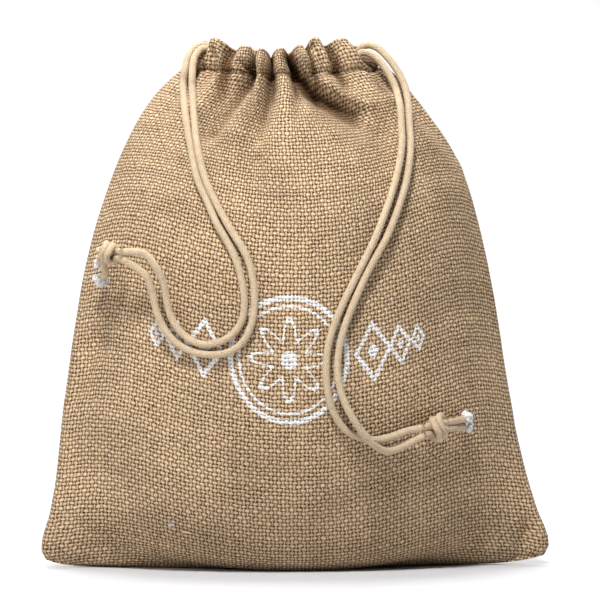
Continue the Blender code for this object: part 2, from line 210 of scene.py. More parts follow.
def read_rows(rows, at):
    """Every column of a table at one place down it, on a smooth curve through the rows."""
    last = len(rows) - 1
    i = 0
    while i < last - 1 and rows[i + 1][0] < at:
        i += 1
    before, low, high, after = rows[max(i - 1, 0)], rows[i], rows[i + 1], rows[min(i + 2, last)]
    span = high[0] - low[0]
    share = min(max((at - low[0]) / span, 0.0), 1.0)
    values = []
    for column in range(1, len(low)):
        slope = (high[column] - low[column]) / span
        into = (low[column] - before[column]) / (low[0] - before[0]) if i > 0 else slope
        out = (after[column] - high[column]) / (after[0] - high[0]) if i + 2 <= last else slope
        start = 0.0 if into * slope <= 0 else 2 * into * slope / (into + slope)
        end = 0.0 if out * slope <= 0 else 2 * out * slope / (out + slope)
        a, b = share * share * (3 - 2 * share), share - 2 * share**2 + share**3
        c = share**3 - share**2
        values.append(low[column] * (1 - a) + high[column] * a + span * (start * b + end * c))
    return values


def cloth_place(around, middle, sides):
    """A point of the cloth before its folds, from the two tables read at its height."""
    front = around <= 0.5
    across = 2 * around if front else 2 - 2 * around
    out_front, out_back, z_middle, rounded = middle
    left_x, left_z, left_sweep, right_x, right_z, right_sweep = sides
    out = (out_front if front else out_back) * MM
    half = (right_x - left_x) / 2 * MM
    nose = SEAM_NOSE * min(out / SEAM_NOSE_START, 1.0)
    arc = 2 * atan2(out - nose, half)
    bend = arc * (1 - rounded) + pi / 2 * rounded
    along = 2 * across - 1
    x = (left_x + right_x) / 2 * MM + half * (sin(bend * along) / sin(bend) if bend > 1e-6 else along)
    to_seam = min(across, 1 - across) * FLAT_WIDTH
    lip = sqrt(max(0.0, 1 - (1 - min(to_seam / SEAM_NOSE, 1.0)) ** 2))
    swell = (cos(bend * along) - cos(bend)) / (1 - cos(bend)) if bend > 1e-6 else 0.0
    y = (out - nose) * swell + nose * lip
    side_z, sweep = (left_z, left_sweep) if along < 0 else (right_z, right_sweep)
    z = (z_middle + (side_z - z_middle) * abs(along) ** sweep) * MM
    return Vector((x, -y if front else y, max(z, 0.0)))


# %% [markdown]
# ## Gathers and creases
#
# Drawing the cord bunches the hem into ridges with tight furrows between them. A sharp furrow is a rounded
# wave raised to a power: the ridges stay broad and the bottoms turn narrow and dark. The few long creases
# that run down from the hem are given one by one, each as a soft trough along two straight steps.

# %% Gathers round the hem
GATHERS = (
    # share of the way round; in mm: depth of the furrow, cloth height where it starts, rise of the edge
    (0.028, 5.0, 232, 1.6),
    (0.095, 6.5, 240, 5.0),
    (0.176, 5.0, 250, 1.6),
    (0.203, 6.5, 246, 0.4),
    (0.241, 6.5, 250, 0.2),
    (0.277, 5.0, 256, 1.6),
    (0.307, 4.0, 256, 5.6),
    (0.362, 4.0, 240, 4.4),
    (0.452, 3.5, 236, 3.6),
    (0.535, 4.0, 226, 0.6),
    (0.600, 9.0, 220, 1.0),
    (0.668, 9.5, 214, 2.0),
    (0.735, 9.0, 222, 0.5),
    (0.800, 9.5, 212, 1.5),
    (0.868, 8.0, 224, 3.0),
    (0.940, 6.0, 230, 5.0),
)
FURROW_SHARPNESS = 1.7
NOTCH_SHARPNESS = 1.3
HEM_LINE = 285
HEM_PINCH = 2.2
HEM_SWELL = 1.9
RIM_NOTCH = 2.8
GATHER_FULL = 290
RIM_FROM, RIM_REACH = 284, 16


def gather_at(around, height_mm):
    """In mm, how far in the hem is pushed and how far up its edge stands; and how deep in a furrow it is."""
    count = len(GATHERS)
    i = max((n for n in range(count) if GATHERS[n][0] <= around), default=count - 1)
    this, following = GATHERS[i], GATHERS[(i + 1) % count]
    span = (following[0] - this[0]) % 1.0
    share = ((around - this[0]) % 1.0) / span
    strength = ease((height_mm - this[2]) / (GATHER_FULL - this[2]))
    wave = ((1 - cos(tau * share)) / 2) ** FURROW_SHARPNESS
    edge = ease((height_mm - RIM_FROM) / RIM_REACH)
    rise = (this[3] * (1 + cos(pi * share)) + following[3] * (1 - cos(pi * share))) / 2
    return this[1] * strength * wave, (rise - RIM_NOTCH * wave**NOTCH_SHARPNESS) * edge, wave * strength


# %% Creases of the front
CREASE_REACH = 3
CREASES = (
    # three places x, z; depth at the first and last; half width on the left at both, and on the right
    (-11.6, 244.0, -12.6, 228.0, -17.6, 206.0, 13.5, 5.0, 4.6, 6.0, 1.2, 2.2),
    (-19.8, 195.0, -21.8, 186.0, -24.0, 168.0, 3.2, 0.4, 7.0, 13.0, 3.0, 10.0),
    (-21.6, 236.0, -27.0, 226.0, -40.3, 208.8, 11.0, 6.0, 7.0, 11.0, 1.6, 2.6),
    (-1.6, 243.0, 8.0, 229.8, 30.5, 217.9, 16.0, 9.0, 4.0, 8.0, 1.7, 2.3),
    (8.6, 245.0, 10.4, 241.2, 12.5, 237.6, 4.5, 3.0, 1.5, 2.2, 1.5, 2.2),
    (-27.5, 241.0, -24.0, 239.2, -20.5, 240.6, 3.0, 3.0, 1.7, 1.7, 1.7, 1.7),
    (-40.5, 242.5, -44.0, 235.5, -49.0, 227.5, 6.0, 3.5, 2.6, 3.6, 2.6, 4.6),
    (34.0, 245.0, 42.7, 235.7, 51.0, 225.5, 7.0, 5.0, 2.6, 3.6, 4.0, 5.0),
    (55.5, 222.0, 65.5, 211.5, 78.0, 199.5, 5.0, 3.0, 3.0, 4.4, 4.0, 6.0),
    (44.0, 208.0, 49.0, 190.0, 50.0, 170.0, 2.6, 1.0, 8.0, 13.0, 8.0, 13.0),
    (-96.0, 108.0, -102.0, 98.0, -107.0, 84.0, 3.6, 2.4, 6.0, 6.0, 6.0, 6.0),
    (113.0, 20.0, 111.0, 13.0, 108.0, 6.5, 5.0, 2.4, 2.6, 4.0, 3.0, 5.0),
    # full folds between them, which stand out instead
    (-38.9, 248.6, -36.5, 245.0, -34.0, 241.0, -2.6, -2.0, 6.0, 6.0, 6.0, 6.0),
    (-28.8, 237.6, -36.5, 232.8, -47.0, 224.6, -3.0, -2.4, 5.0, 8.0, 5.0, 8.0),
    (-15.5, 243.8, -18.4, 230.9, -30.7, 209.3, -4.0, -3.0, 3.4, 6.0, 3.4, 6.0),
    (-6.0, 246.0, -4.0, 228.5, 3.0, 197.0, -2.6, -1.6, 7.0, 17.0, 6.0, 18.0),
    (19.2, 250.0, 29.8, 239.0, 45.0, 226.6, -4.0, -3.0, 6.0, 7.0, 4.0, 4.4),
    (48.5, 225.6, 56.2, 211.7, 75.4, 203.0, -2.6, -1.4, 6.0, 9.0, 3.4, 5.0),
    (4.0, 243.0, 14.0, 232.5, 34.0, 222.0, -3.4, -2.4, 3.4, 3.8, 4.6, 5.0),
)


def seen_at(place):
    """Where the eye sees a place against the bag's middle plane: across and up, in mm."""
    nearer = -EYE.y / (place.y - EYE.y)
    return (EYE.x + (place.x - EYE.x) * nearer) / MM, (EYE.z + (place.z - EYE.z) * nearer) / MM


def crease_at(place):
    """How far the creases push the front in at a place, in mm."""
    x, z = seen_at(place)
    total = 0.0
    for x0, z0, x1, z1, x2, z2, depth0, depth1, left0, left1, right0, right1 in CREASES:
        reach = CREASE_REACH * max(left0, left1, right0, right1)
        if not min(x0, x1, x2) - reach < x < max(x0, x1, x2) + reach:
            continue
        if not min(z0, z1, z2) - reach < z < max(z0, z1, z2) + reach:
            continue
        nearest, reached, side = 1e9, 0.0, 0.0
        places = ((x0, z0), (x1, z1), (x2, z2))
        for step in range(2):
            (ax, az), (bx, bz) = places[step], places[step + 1]
            length = (bx - ax) ** 2 + (bz - az) ** 2
            share = min(max(((x - ax) * (bx - ax) + (z - az) * (bz - az)) / length, 0.0), 1.0)
            off_x, off_z = x - ax - share * (bx - ax), z - az - share * (bz - az)
            away = sqrt(off_x**2 + off_z**2)
            if away < nearest:
                nearest, reached = away, (step + share) / 2
                side = ((bx - ax) * off_z - (bz - az) * off_x) / sqrt(length)
        left, right = left0 + (left1 - left0) * reached, right0 + (right1 - right0) * reached
        half = left + (right - left) * ease(0.5 + side / (left + right))
        total += (depth0 + (depth1 - depth0) * reached) * exp(-((nearest / half) ** 2))
    return total


# %% Cord holes
CORD_HOLES = (
    # around, cloth height, depth, half width round, half height
    (0.038, 292.5, 6.5, 0.011, 4.2),
    (0.462, 292.0, 6.5, 0.011, 4.2),
)


def hole_at(around, height_mm):
    """How far the hem is pushed in where the cords come out of it, in mm."""
    total = 0.0
    for hole_around, hole_height, depth, half_round, half_high in CORD_HOLES:
        away = ((around - hole_around) / half_round) ** 2 + ((height_mm - hole_height) / half_high) ** 2
        total += depth * exp(-away)
    return total


# %% [markdown]
# ## Weaving the sheet
#
# A grid of small squares is bent into the bag, row by row. The top rows turn over into the hem: the cloth
# goes over the edge and down again inside, which gives the rounded lip that a cut edge lacks. The side
# seams are closed by merging the doubled points. Each point also keeps its true place in the flat cloth
# as its UV, in metres, so that the threads of the material run where real threads would.

# %% Rows of the sheet
FRONT_COLUMNS, BACK_COLUMNS = 190, 90
COLUMNS = FRONT_COLUMNS + BACK_COLUMNS
CLOTH_HEIGHT, LAST_ROW = 300, 299.4
ROW_STEPS = ((190, 4.2), (236, 2.0), (CLOTH_HEIGHT, 1.0))
HEM_DEPTH, HEM_DEPTH_STEPS = 15, 6
HEM_TURN, HEM_TURN_STEPS = 1.25 * MM, 5
CLOTH_THICK = 0.9 * MM


def around_at(column):
    """How far round a column of the grid is: the front, with its creases, has more columns than the back."""
    if column <= FRONT_COLUMNS:
        return 0.5 * column / FRONT_COLUMNS
    return 0.5 + 0.5 * (column - FRONT_COLUMNS) / BACK_COLUMNS


def row_list():
    """Every row from the bottom fold up, over the edge and down inside the hem: height, length and turn."""
    rows = []
    height = 0.0
    while height < LAST_ROW:
        rows.append((height, height, 0.0))
        height += next(step for below, step in ROW_STEPS if height < below)
    for step in range(HEM_TURN_STEPS + 1):
        turn = pi * step / HEM_TURN_STEPS
        rows.append((CLOTH_HEIGHT, CLOTH_HEIGHT + turn * HEM_TURN / MM, turn))
    for step in range(1, HEM_DEPTH_STEPS + 1):
        down = HEM_DEPTH * step / HEM_DEPTH_STEPS
        rows.append((CLOTH_HEIGHT - down, CLOTH_HEIGHT + pi * HEM_TURN / MM + down, pi))
    return rows


# %% Fold and close the sheet
WRINKLES = (
    # size and depth of the cloth's soft unevenness, in mm
    (62, 2.4),
    (26, 1.0),
    (11, 0.30),
)
DEEP_CREASE = 11.0
SEAM_CALM, SEAM_CALM_REACH = 0.6, 0.012
SEAM_WRINKLE, SEAM_WRINKLE_REACH = 0.35, 0.03
WRINKLES_FROM_FLOOR = 20 * MM
PINCH_REACH = 1.7


def wrinkle_at(place):
    """The soft unevenness of hand-filled cloth, in mm."""
    return sum(depth * noise.noise(place / (size * MM)) for size, depth in WRINKLES)


def seam_gap(around):
    """How near a place is to a side seam, as a share of the way round."""
    return min(around, abs(around - 0.5), 1 - around)


def make_sheet():
    """The bag's cloth as an open sheet with flat-cloth UVs, and the line where its hem is sewn."""
    rows = row_list()
    last = len(rows) - 1
    sheet = bmesh.new()
    # How deep each place lies in a furrow or crease, from 0 to 1: the jute material paints shade into its
    # colour by it.
    fold = sheet.verts.layers.float.new("fold")
    bmesh.ops.create_grid(sheet, x_segments=COLUMNS, y_segments=last, size=1.0)
    grid = {}
    for vertex in sheet.verts:
        column = round((vertex.co.x + 1) / 2 * COLUMNS)
        grid[(column, round((vertex.co.y + 1) / 2 * last))] = vertex
    for row, (height, _, _) in enumerate(rows):
        middle, sides = read_rows(MIDDLE, height), read_rows(SIDES, height)
        for column in range(COLUMNS + 1):
            grid[(column, row)].co = cloth_place(around_at(column), middle, sides)
    plain = {place: vertex.co.copy() for place, vertex in grid.items()}
    outside = [row for row, (_, _, turn) in enumerate(rows) if turn == 0]
    top = outside[-1]
    sheet.normal_update()
    if grid[(FRONT_COLUMNS // 2, top // 2)].normal.y > 0:
        bmesh.ops.reverse_faces(sheet, faces=sheet.faces)
        sheet.normal_update()
    normals = {place: vertex.normal.copy() for place, vertex in grid.items()}
    depths = {}
    for (column, row), vertex in grid.items():
        around, (height, _, turn) = around_at(column), rows[row]
        inward, rise, furrow = gather_at(around, height)
        crease = crease_at(vertex.co) if around <= 0.5 else 0.0
        depths[(column, row)] = max(furrow, min(crease / DEEP_CREASE, 1.0), 0.0)
        vertex[fold] = depths[(column, row)]
        inward += crease
        inward += hole_at(around, height) if turn == 0 else 0.0
        inward *= 1.0 - SEAM_CALM * exp(-((seam_gap(around) / SEAM_CALM_REACH) ** 2))
        free = SEAM_WRINKLE + (1 - SEAM_WRINKLE) * ease(seam_gap(around) / SEAM_WRINKLE_REACH)
        inward -= wrinkle_at(vertex.co) * ease(vertex.co.z / WRINKLES_FROM_FLOOR) * free
        inward += HEM_PINCH * exp(-(((height - HEM_LINE) / PINCH_REACH) ** 2))
        inward -= HEM_SWELL * sin(pi * min(max((height - HEM_LINE) / HEM_DEPTH, 0.0), 1.0))
        normal = normals[(column, min(row, top))]
        level = Vector((normal.x, normal.y, normal.z * 0.5)).normalized()
        turned = HEM_TURN * (1 - cos(turn))
        vertex.co += Vector((0, 0, rise * MM + HEM_TURN * sin(turn))) - level * (inward * MM + turned)
        vertex.co.z = max(vertex.co.z, 0.0)
    cloth_uv(sheet, grid, plain, rows, depths)
    hem_row = next(row for row, (height, _, _) in enumerate(rows) if height >= HEM_LINE)
    hem = [grid[(column, hem_row)].co.copy() for column in range(COLUMNS + 1)]
    bmesh.ops.remove_doubles(sheet, verts=sheet.verts, dist=0.05 * MM)
    return sheet, hem


# %% [markdown]
# Where the hem is bunched, half of the cloth is hidden in the furrows. If the threads were simply spread
# along each row they would look too fine there. So the hidden cloth is put at the bottoms of the furrows:
# a row keeps its true thread spacing on the ridges and takes up what is left over where it can't be seen.

# %% Thread places
WARP_CROWD = 0.015
FLOOR_PART = 28 * MM
CLOTH_TOP = 277 * MM
TAKE_UP = 90 * MM
HEM_MORE = 5 * MM
LEAST_HIDDEN, MOST_HIDDEN = -0.8, 5.0
HIDDEN_FROM, HIDDEN_TO, HIDDEN_CLOTH = 205, 290, 45 * MM
EVEN_REACH = 28 * MM


def evened(lines, heights):
    """Averages each line of numbers with those near it in height, so that threads run smoothly upward."""
    smooth = []
    for here in heights:
        shares = [max(0.0, 1 - abs(height - here) * MM / EVEN_REACH) for height in heights]
        total = sum(shares)
        near = [(share / total, line) for share, line in zip(shares, lines) if share > 0]
        smooth.append([sum(share * line[n] for share, line in near) for n in range(len(lines[0]))])
    return smooth


def row_threads(steps, hidden, most):
    """Places along one row from seam to seam in flat cloth, with up to most of it hidden on each half."""
    shares = [0.0]
    middle = len(steps) // 2
    for part in (slice(0, middle), slice(middle, len(steps))):
        spare = sum(step * share for step, share in zip(steps[part], hidden[part]))
        missing = min(FLAT_WIDTH / 2 - sum(steps[part]), most)
        extra = min(max(missing / max(spare, 1 * MM), LEAST_HIDDEN), MOST_HIDDEN)
        grown = [step * (1 + extra * share) for step, share in zip(steps[part], hidden[part])]
        for value in grown:
            shares.append(shares[-1] + value / sum(grown) / 2)
    return [FLAT_WIDTH * (share - WARP_CROWD * sin(tau * share)) for share in shares]


def column_threads(plain, column, rows):
    """Places up one column, in metres: 0 where the cloth leaves the floor, and the same all round the rim."""
    along = 4 * around_at(column) - 1 if column <= FRONT_COLUMNS else 3 - 4 * around_at(column)
    places = [-FLOOR_PART * (1 - along * along)]
    for row in range(1, len(rows)):
        places.append(places[-1] + (plain[(column, row)] - plain[(column, row - 1)]).length)
    rim = places[-1]
    missing = CLOTH_TOP - rim - HEM_MORE
    places = [place + missing * ease((place - rim + TAKE_UP) / TAKE_UP) for place in places]
    return [place + HEM_MORE * min(max((row[0] - HEM_LINE) / (CLOTH_HEIGHT - HEM_LINE), 0.0), 1.0)
            for place, row in zip(places, rows)]


def cloth_uv(sheet, grid, plain, rows, depths):
    """Gives the sheet its flat-cloth UVs, in metres."""
    layer = sheet.loops.layers.uv.new("cloth")
    outside = [row for row, (_, _, turn) in enumerate(rows) if turn == 0]
    heights = [rows[row][0] for row in outside]
    steps, hidden = [], []
    for row in outside:
        line = [grid[(column, row)].co for column in range(COLUMNS + 1)]
        steps.append([(b - a).length for a, b in zip(line, line[1:])])
        hidden.append([max(depths[(n, row)], depths[(n + 1, row)]) ** 2 for n in range(COLUMNS)])
    steps, hidden = evened(steps, heights), evened(hidden, heights)
    across = []
    for height, step, share in zip(heights, steps, hidden):
        most = HIDDEN_CLOTH * ease((height - HIDDEN_FROM) / (HIDDEN_TO - HIDDEN_FROM))
        front = row_threads(step[:FRONT_COLUMNS], share[:FRONT_COLUMNS], most)
        back = row_threads(step[FRONT_COLUMNS:], share[FRONT_COLUMNS:], most)
        across.append(front + [FLAT_WIDTH + value for value in back[1:]])
        if height % 20 < 1:
            print(f"cloth {height:.0f} mm up: {sum(step[:FRONT_COLUMNS]) / MM:.0f} mm across the front")
    up = [column_threads(plain, column, rows[:len(outside)]) for column in range(COLUMNS + 1)]
    places = {}
    for row, (_, length, _) in enumerate(rows):
        line = across[min(row, len(outside) - 1)]
        for column in range(COLUMNS + 1):
            inside = CLOTH_TOP + (length - CLOTH_HEIGHT) * MM
            places[grid[(column, row)]] = (line[column], up[column][row] if row < len(outside) else inside)
    for face in sheet.faces:
        for loop in face.loops:
            loop[layer].uv = places[loop.vert]


sheet, hem_places = make_sheet()
surface = BVHTree.FromBMesh(sheet)
print("cloth faces:", len(sheet.faces))
cloth_mesh = mesh_of("bag_cloth_woven", sheet)
cloth_mesh.shade_smooth()

# %% [markdown]
# ## Small helpers for materials
#
# The weave is worked out by arithmetic nodes. A Wire stands for the output of a node. Adding, multiplying
# and so on each place one more node, so that a formula reads like a formula.

# %% Node helpers
class Wire:
    """The output of a node, with the arithmetic that can be done on it."""

    def __init__(self, tree, socket):
        self.tree, self.socket = tree, socket

    def math(self, operation, *others):
        """The output of a new Math node, on this value and up to two more."""
        node = self.tree.nodes.new("ShaderNodeMath")
        node.operation = operation
        plug(self.tree, node.inputs, (self, *others))
        return Wire(self.tree, node.outputs[0])

    def __add__(self, other):
        return self.math("ADD", other)

    def __sub__(self, other):
        return self.math("SUBTRACT", other)

    def __mul__(self, other):
        return self.math("MULTIPLY", other)

    def __truediv__(self, other):
        return self.math("DIVIDE", other)

    def __abs__(self):
        return self.math("ABSOLUTE")


def plug(tree, sockets, values):
    """Links a wire to each socket, or sets the socket to a number or a colour."""
    for socket, value in zip(sockets, values):
        if isinstance(value, Wire):
            tree.links.new(value.socket, socket)
        elif isinstance(value, tuple):
            socket.default_value = (*value, 1.0)
        else:
            socket.default_value = value


def between(value, low, high, start=0.0, end=1.0, kind="SMOOTHSTEP"):
    """A Map Range node that eases from start at low to end at high."""
    node = value.tree.nodes.new("ShaderNodeMapRange")
    node.interpolation_type = kind
    plug(value.tree, node.inputs, (value, low, high, start, end))
    return Wire(value.tree, node.outputs[0])


def join(x, y, z=0.0):
    """A Combine XYZ node."""
    node = x.tree.nodes.new("ShaderNodeCombineXYZ")
    plug(x.tree, node.inputs, (x, y, z))
    return Wire(x.tree, node.outputs[0])


def grain(vector, scale, detail=2.0, rough=0.5):
    """A Noise Texture node's value, from 0 to 1."""
    node = vector.tree.nodes.new("ShaderNodeTexNoise")
    names = ("Vector", "Scale", "Detail", "Roughness")
    plug(vector.tree, [node.inputs[name] for name in names], (vector, scale, detail, rough))
    return Wire(vector.tree, node.outputs["Fac"])


def lot(value, other=None):
    """A White Noise node: one steady random number for each whole value, or for each pair of them."""
    node = value.tree.nodes.new("ShaderNodeTexWhiteNoise")
    node.noise_dimensions = "1D" if other is None else "2D"
    if other is None:
        plug(value.tree, [node.inputs["W"]], [value])
    else:
        plug(value.tree, [node.inputs["Vector"]], [join(value, other)])
    return Wire(value.tree, node.outputs["Value"])


def mixed(tree, kind, share, first, second):
    """A Mix node for colours: each is a colour or a wire."""
    node = tree.nodes.new("ShaderNodeMix")
    node.data_type = "RGBA"
    node.blend_type = kind
    plug(tree, (node.inputs[0], node.inputs[6], node.inputs[7]), (share, first, second))
    return Wire(tree, node.outputs[2])


def blend(share, first, second):
    """From the first colour at a share of 0 to the second at 1."""
    return mixed(share.tree, "MIX", share, first, second)


def tint(colour, by):
    """A colour multiplied by another, or by one number for all three of its parts."""
    return mixed(colour.tree, "MULTIPLY", 1.0, colour, by)


def uv_of(tree, name):
    """A piece's own UV map, whole and as its two numbers."""
    node = tree.nodes.new("ShaderNodeUVMap")
    node.uv_map = name
    split = tree.nodes.new("ShaderNodeSeparateXYZ")
    tree.links.new(node.outputs[0], split.inputs[0])
    return [Wire(tree, socket) for socket in (node.outputs[0], split.outputs[0], split.outputs[1])]


def add_bump(shader, height, distance):
    """Roughens a shader by a height, in metres for a height of 1."""
    node = height.tree.nodes.new("ShaderNodeBump")
    names = ("Strength", "Distance", "Height")
    plug(height.tree, [node.inputs[name] for name in names], (1.0, distance, height))
    height.tree.links.new(node.outputs["Normal"], shader.inputs["Normal"])


# %% [markdown]
# ## Jute
#
# Jute for bags is a plain weave of coarse, uneven yarn: each thread goes over one and under the next, and
# a small dark hole is left at each corner. The pitch here is a little over 1.9 mm. A picture of cloth could
# be tiled, but it would repeat and blur. So the material counts the threads: it finds which warp and which
# weft it is on, how far it is from each one's middle, and which of the two lies on top. Every thread gets
# its own width and shade, with thick places along it, and finer streaks for the fibres.

# %% Jute material
WARP_PITCH, WEFT_PITCH = 1.92 * MM, 1.95 * MM
# A painted highlight: the colour along the top of a thread where it rises over the other.
JUTE_CREST_HIGHLIGHT = (0.760, 0.572, 0.368)
JUTE_LIGHT = (0.515, 0.366, 0.222)
JUTE_MID = (0.368, 0.250, 0.142)
# Painted shade: where a thread dips under the other, and in the holes, where the bag's dark inside would
# show.
JUTE_DIP_SHADE = (0.235, 0.143, 0.075)
JUTE_HOLE_SHADE = (0.055, 0.027, 0.011)
JUTE_PALE = (0.86, 0.71, 0.51)
# Painted shade for the bottoms of the deep furrows and creases, multiplied into the cloth's colour.
FOLD_SHADE = (0.30, 0.22, 0.15)
WARP_SHADE, WEFT_SHADE = 0.88, 1.05
WEAVE_RELIEF = 0.55 * MM
# In parts of the pitch: how far threads wander, and the half widths of the thinnest and thickest thread.
WANDER, WANDER_GRAIN = 0.33, 190.0
WARP_HALVES, WEFT_HALVES = (0.25, 0.29), (0.35, 0.40)
THICK_PLACES = (-0.07, 0.11)
# In parts of the relief: how far a thread rises at a crossing, how round it is, and how deep a hole is.
THREAD_LIFT, THREAD_ROUND, HOLE_DEPTH = 0.45, 0.62, 0.7
FIBRE_TWIST, FIBRE_RELIEF = 3.2, 0.35
# How much each of these shows in the shade of a thread.
OWN_SHARE, CROSSING_SHARE = 0.22, 0.10
PALE_CROSSING, PALE_SHARE, CREST_HIGHLIGHT_SHARE = 0.22, 0.30, 0.62
CAST = (0.93, 1.12)


def thread_lines(across, along, seed, halves):
    """One set of threads: whole thread number, place across it, half width and own shade."""
    whole = across.math("FLOOR")
    own = lot(whole + seed)
    swelling = grain(join(whole * 3.7, along * 0.55, seed), 1.0, 3.0, 0.7)
    width = between(own, 0, 1, *halves, "LINEAR") + between(swelling, 0.3, 0.7, *THICK_PLACES)
    return whole, across - whole - 0.5, width, own


def round_top(off, width):
    """The height of a round thread over its middle line, 1 at the middle and 0 from its edge on."""
    share = off / width
    return (share * share).math("MULTIPLY_ADD", -1.0, 1.0).math("MAXIMUM", 0.0).math("SQRT")


def weave(uv, across, up):
    """The plain weave: its height, the painted highlight on its crests, which thread is on top, its fibres
    and its shades.
    """
    wander_x, wander_y = (between(grain(place, WANDER_GRAIN, 3.0), 0.2, 0.8, -WANDER, WANDER, "LINEAR")
                          for place in (uv, join(up, across, 4.0)))
    u = across / WARP_PITCH + wander_x
    v = up / WEFT_PITCH + wander_y
    warp, warp_off, warp_width, warp_own = thread_lines(u, v, 11.0, WARP_HALVES)
    weft, weft_off, weft_width, weft_own = thread_lines(v, u, 57.0, WEFT_HALVES)
    side = (warp + weft).math("PINGPONG", 1.0) * 2.0 - 1.0
    heights, crests = [], []
    for off, width, crossing_off, way in (
        (warp_off, warp_width, weft_off, 1.0),
        (weft_off, weft_width, warp_off, -1.0),
    ):
        rise = side * (crossing_off * pi).math("COSINE") * way
        rounded = round_top(off, width)
        there = rounded.math("GREATER_THAN", 0.02)
        height = rise * THREAD_LIFT + rounded * THREAD_ROUND
        heights.append((height + HOLE_DEPTH) * there - HOLE_DEPTH)
        # Where the painted highlight lies: along the top of a thread where it rises over the other.
        crests.append(between(rounded, 0.74, 0.98) * between(rise, -0.2, 0.5))
    warp_wins = heights[0].math("GREATER_THAN", heights[1])

    def winner(first, second):
        return (first - second) * warp_wins + second

    warp_fibre = grain(join(u * FIBRE_TWIST + v * 0.9, v * 0.6, 2.0), 1.0, 3.0, 0.65)
    weft_fibre = grain(join(u * 0.6, v * FIBRE_TWIST + u * 0.7, 8.0), 1.0, 3.0, 0.65)
    return {
        "height": heights[0].math("MAXIMUM", heights[1]),
        "crest": winner(*crests),
        "warp": warp_wins,
        "crossing": lot(warp, weft),
        "fibre": winner(warp_fibre, weft_fibre),
        "own": winner(warp_own, weft_own),
    }


# %% [markdown]
# ## The white design
#
# The front carries a white design, screen printed on the finished bag. Ours is a plain one of our own:
# a ring with an eight-lobed rosette in it, and three diamonds getting smaller on each side. It is worked
# out from the place in the flat cloth, in millimetres from the design's middle. The ink lies on top of
# the threads, so it stops at the holes and thins where a thread dips.

# %% Design formula
DESIGN_MIDDLE = (121 * MM, 114 * MM)
RING_RADIUS, RING_HALF = 29.0, 1.2
RING_INNER, RING_INNER_HALF = 25.0, 0.6
ROSETTE_RADIUS, ROSETTE_SWING, ROSETTE_LOBES, ROSETTE_HALF = 14.0, 5.0, 8.0, 1.15
ROSETTE_EYE = 4.2
DIAMONDS = (
    # middle, half width, half height, line
    (42.5, 10.0, 14.5, 0.24),
    (57.0, 6.6, 10.0, 0.32),
    (67.5, 4.4, 6.8, 0.42),
)
RAGGED = 0.55
INK = (0.80, 0.79, 0.77)


def line_at(value, middle, half, soft=0.35):
    """1 where a value is within half of middle, easing to 0 outside."""
    return between(abs(value - middle), half + soft, half - soft)


def design(uv, across, up):
    """How much of the white design lies at a place of the cloth, from 0 to 1."""
    x, y = ((place - middle) / MM + between(grain(uv, scale, 1.0), 0.2, 0.8, -RAGGED, RAGGED, "LINEAR")
            for place, middle, scale in zip((across, up), DESIGN_MIDDLE, (900.0, 1100.0)))
    radius = (x * x + y * y).math("SQRT")
    lobes = (y.math("ARCTAN2", x) * ROSETTE_LOBES).math("COSINE") * ROSETTE_SWING + ROSETTE_RADIUS
    marks = [
        between(radius, ROSETTE_EYE + 0.3, ROSETTE_EYE - 0.3),
        line_at(radius, RING_RADIUS, RING_HALF),
        line_at(radius, RING_INNER, RING_INNER_HALF),
    ]
    for middle, half_width, half_height, line in DIAMONDS:
        reach = abs(abs(x) - middle) / half_width + abs(y) / half_height
        marks += [line_at(reach, 1.0 - line / 2, line / 2, 0.04), between(reach, 0.32, 0.26)]
    total = line_at(radius - lobes, 0.0, ROSETTE_HALF)
    for mark in marks:
        total = total.math("MAXIMUM", mark)
    return total


# %% Make the jute
def make_jute():
    """Jute cloth with the white design, on the cloth's own UVs: painted highlights on the thread tops, and
    painted shade where threads dip, in the holes and in the furrows.
    """
    made, shader = finish_of("jute weave", JUTE_MID, 0.85)
    tree = made.node_tree
    uv, across, up = uv_of(tree, "cloth")
    woven = weave(uv, across, up)
    height, fibre, crossing = woven["height"], woven["fibre"], woven["crossing"]
    shade = crossing * CROSSING_SHARE + (woven["own"] * OWN_SHARE + fibre)
    thread = blend(between(shade, 0.50, 0.90), JUTE_MID, JUTE_LIGHT)
    pale = between(crossing * PALE_CROSSING + fibre, 0.68, 0.92)
    thread = blend(pale * PALE_SHARE, thread, JUTE_PALE)
    # Painted highlight along the top of each thread that lies over the other.
    thread = blend(woven["crest"] * CREST_HIGHLIGHT_SHARE, thread, JUTE_CREST_HIGHLIGHT)
    thread = tint(thread, woven["warp"] * (WARP_SHADE - WEFT_SHADE) + WEFT_SHADE)
    # Painted shade: darker where a thread dips under the other, and darkest in the holes.
    thread = blend(between(height, 0.22, 0.86), JUTE_DIP_SHADE, thread)
    cloth = blend(between(height, -0.1, 0.35), JUTE_HOLE_SHADE, thread)
    cloth = tint(cloth, between(grain(uv, 28.0, 3.0), 0.3, 0.7, *CAST))
    # Painted shade at the bottoms of the furrows and creases, by how deep each place lies in one.
    fold = tree.nodes.new("ShaderNodeAttribute")
    fold.attribute_name = "fold"
    deep = between(Wire(tree, fold.outputs["Fac"]), 0.28, 0.95)
    cloth = blend(deep, cloth, tint(cloth, FOLD_SHADE))
    front_only = across.math("LESS_THAN", FLAT_WIDTH)
    ink = design(uv, across, up) * front_only * between(height, -0.25, 0.30, 0.12, 1.0)
    worn = between(grain(uv, 420.0, 3.0, 0.7), 0.30, 0.52, 0.72, 1.0)
    plug(tree, [shader.inputs["Base Color"]], [blend(ink * worn, cloth, INK)])
    add_bump(shader, height + (fibre - 0.5) * FIBRE_RELIEF, WEAVE_RELIEF)
    shader.inputs["Specular IOR Level"].default_value = 0.25
    return made


jute = make_jute()
cloth = new_object("bag_cloth_woven", cloth_mesh, jute)
wall = cloth.modifiers.new("cloth thickness", "SOLIDIFY")
wall.thickness = CLOTH_THICK
wall.offset = -1.0
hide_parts("bag_cloth")
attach(cloth, "root")
